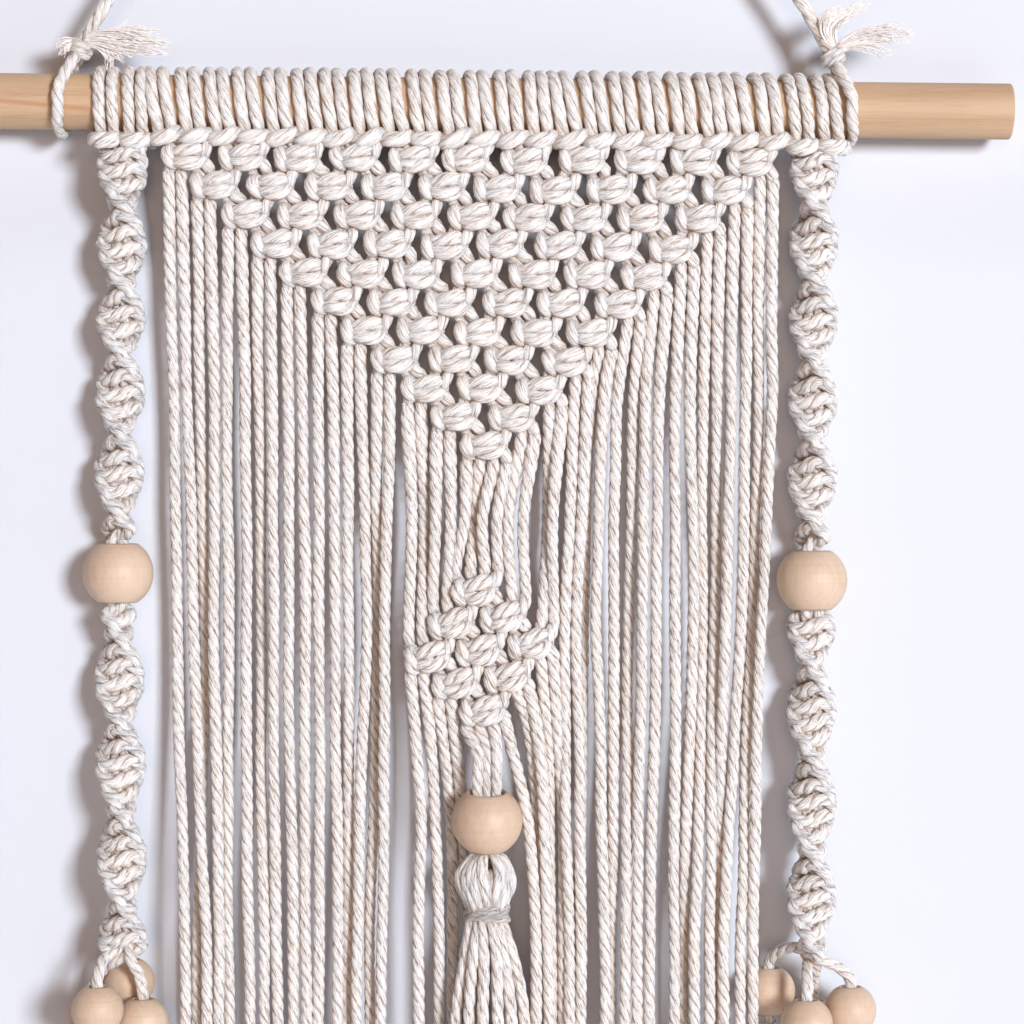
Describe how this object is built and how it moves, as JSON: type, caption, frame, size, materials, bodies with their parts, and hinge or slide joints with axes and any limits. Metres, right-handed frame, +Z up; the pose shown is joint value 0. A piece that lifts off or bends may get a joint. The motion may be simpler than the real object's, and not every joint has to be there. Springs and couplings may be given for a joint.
{
  "type": "macrame wall hanging with wooden dowel",
  "caption": "Cotton macrame panel on a wooden dowel: a triangular net of square knots, long strands, spiral side cords, wooden beads and a tassel, hung by a cord.",
  "frame": {"origin": "the point on the hook where the hanging cord lies, above the middle of the dowel", "axes": "+Z up, +X to the right as the front is seen, front towards -Y"},
  "size_m": [0.3102, 0.0339, 0.5348],
  "materials": {
    "cotton_cord": "undyed twisted cotton, matt, slightly fuzzy",
    "dowel_wood": "bare pale pine with straight grain",
    "bead_wood": "turned pale beech, lightly polished"
  },
  "bodies": {
    "root": {"dowel": "dowel_wood", "hanger_cord": "cotton_cord", "hanger_knot_left": "cotton_cord", "hanger_knot_right": "cotton_cord", "macrame_panel": "cotton_cord", "sinnet_left": "cotton_cord", "sinnet_right": "cotton_cord", "side_bead_left": "bead_wood", "side_bead_right": "bead_wood", "centre_bead": "bead_wood", "end_bead_left_1": "bead_wood", "end_bead_left_2": "bead_wood", "end_bead_left_3": "bead_wood", "end_bead_left_4": "bead_wood", "end_bead_right_1": "bead_wood", "end_bead_right_2": "bead_wood", "end_bead_right_3": "bead_wood", "end_bead_right_4": "bead_wood", "tassel": "cotton_cord"}
  },
  "joints": []
}
